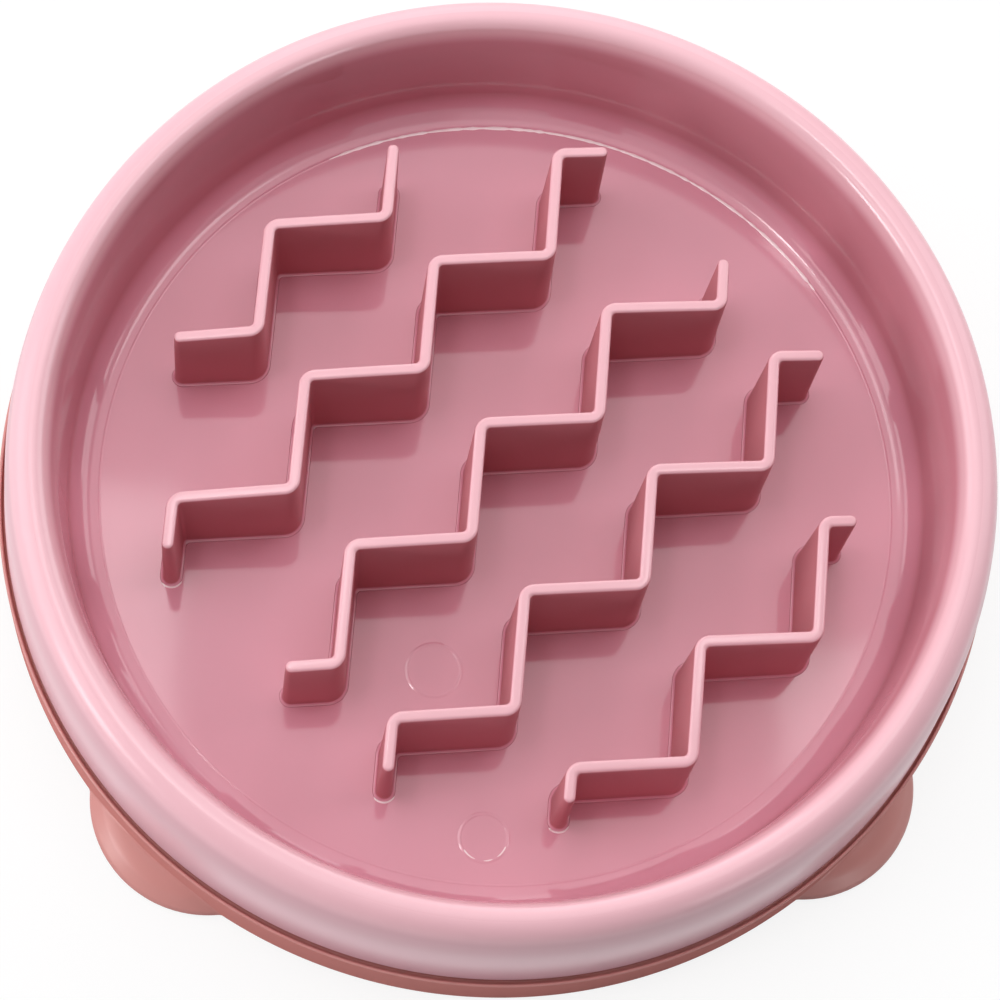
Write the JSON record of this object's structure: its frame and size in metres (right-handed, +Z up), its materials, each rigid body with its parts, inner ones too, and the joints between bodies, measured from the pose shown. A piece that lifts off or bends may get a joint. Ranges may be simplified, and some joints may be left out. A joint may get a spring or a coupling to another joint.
{
  "type": "slow feeder bowl",
  "caption": "Round pet bowl with a crowned zigzag maze on its floor that slows eating, on a flared base ring with padded lobes.",
  "frame": {"origin": "centre of the bounding box on the table face, under the middle of the bowl", "axes": "+Z up out of the bowl's mouth; -Y is the front, where the skirt is left bare; the ribs run at 45 degrees from +X towards +Y"},
  "size_m": [0.227, 0.227, 0.0481],
  "materials": {
    "bowl_plastic": "glossy moulded polypropylene, light pink",
    "base_plastic": "glossy moulded polypropylene, slightly warmer pink",
    "pad_rubber": "soft matt anti-slip rubber"
  },
  "bodies": {
    "root": {"bowl": "bowl_plastic", "skirt": "bowl_plastic", "maze_rib_1": "bowl_plastic", "maze_rib_2": "bowl_plastic", "maze_rib_3": "bowl_plastic", "maze_rib_4": "bowl_plastic", "maze_rib_5": "bowl_plastic", "base_ring": "base_plastic", "foot_pad_front_left": "pad_rubber", "foot_pad_front_right": "pad_rubber", "foot_pad_back_left": "pad_rubber", "foot_pad_back_right": "pad_rubber"}
  },
  "joints": []
}
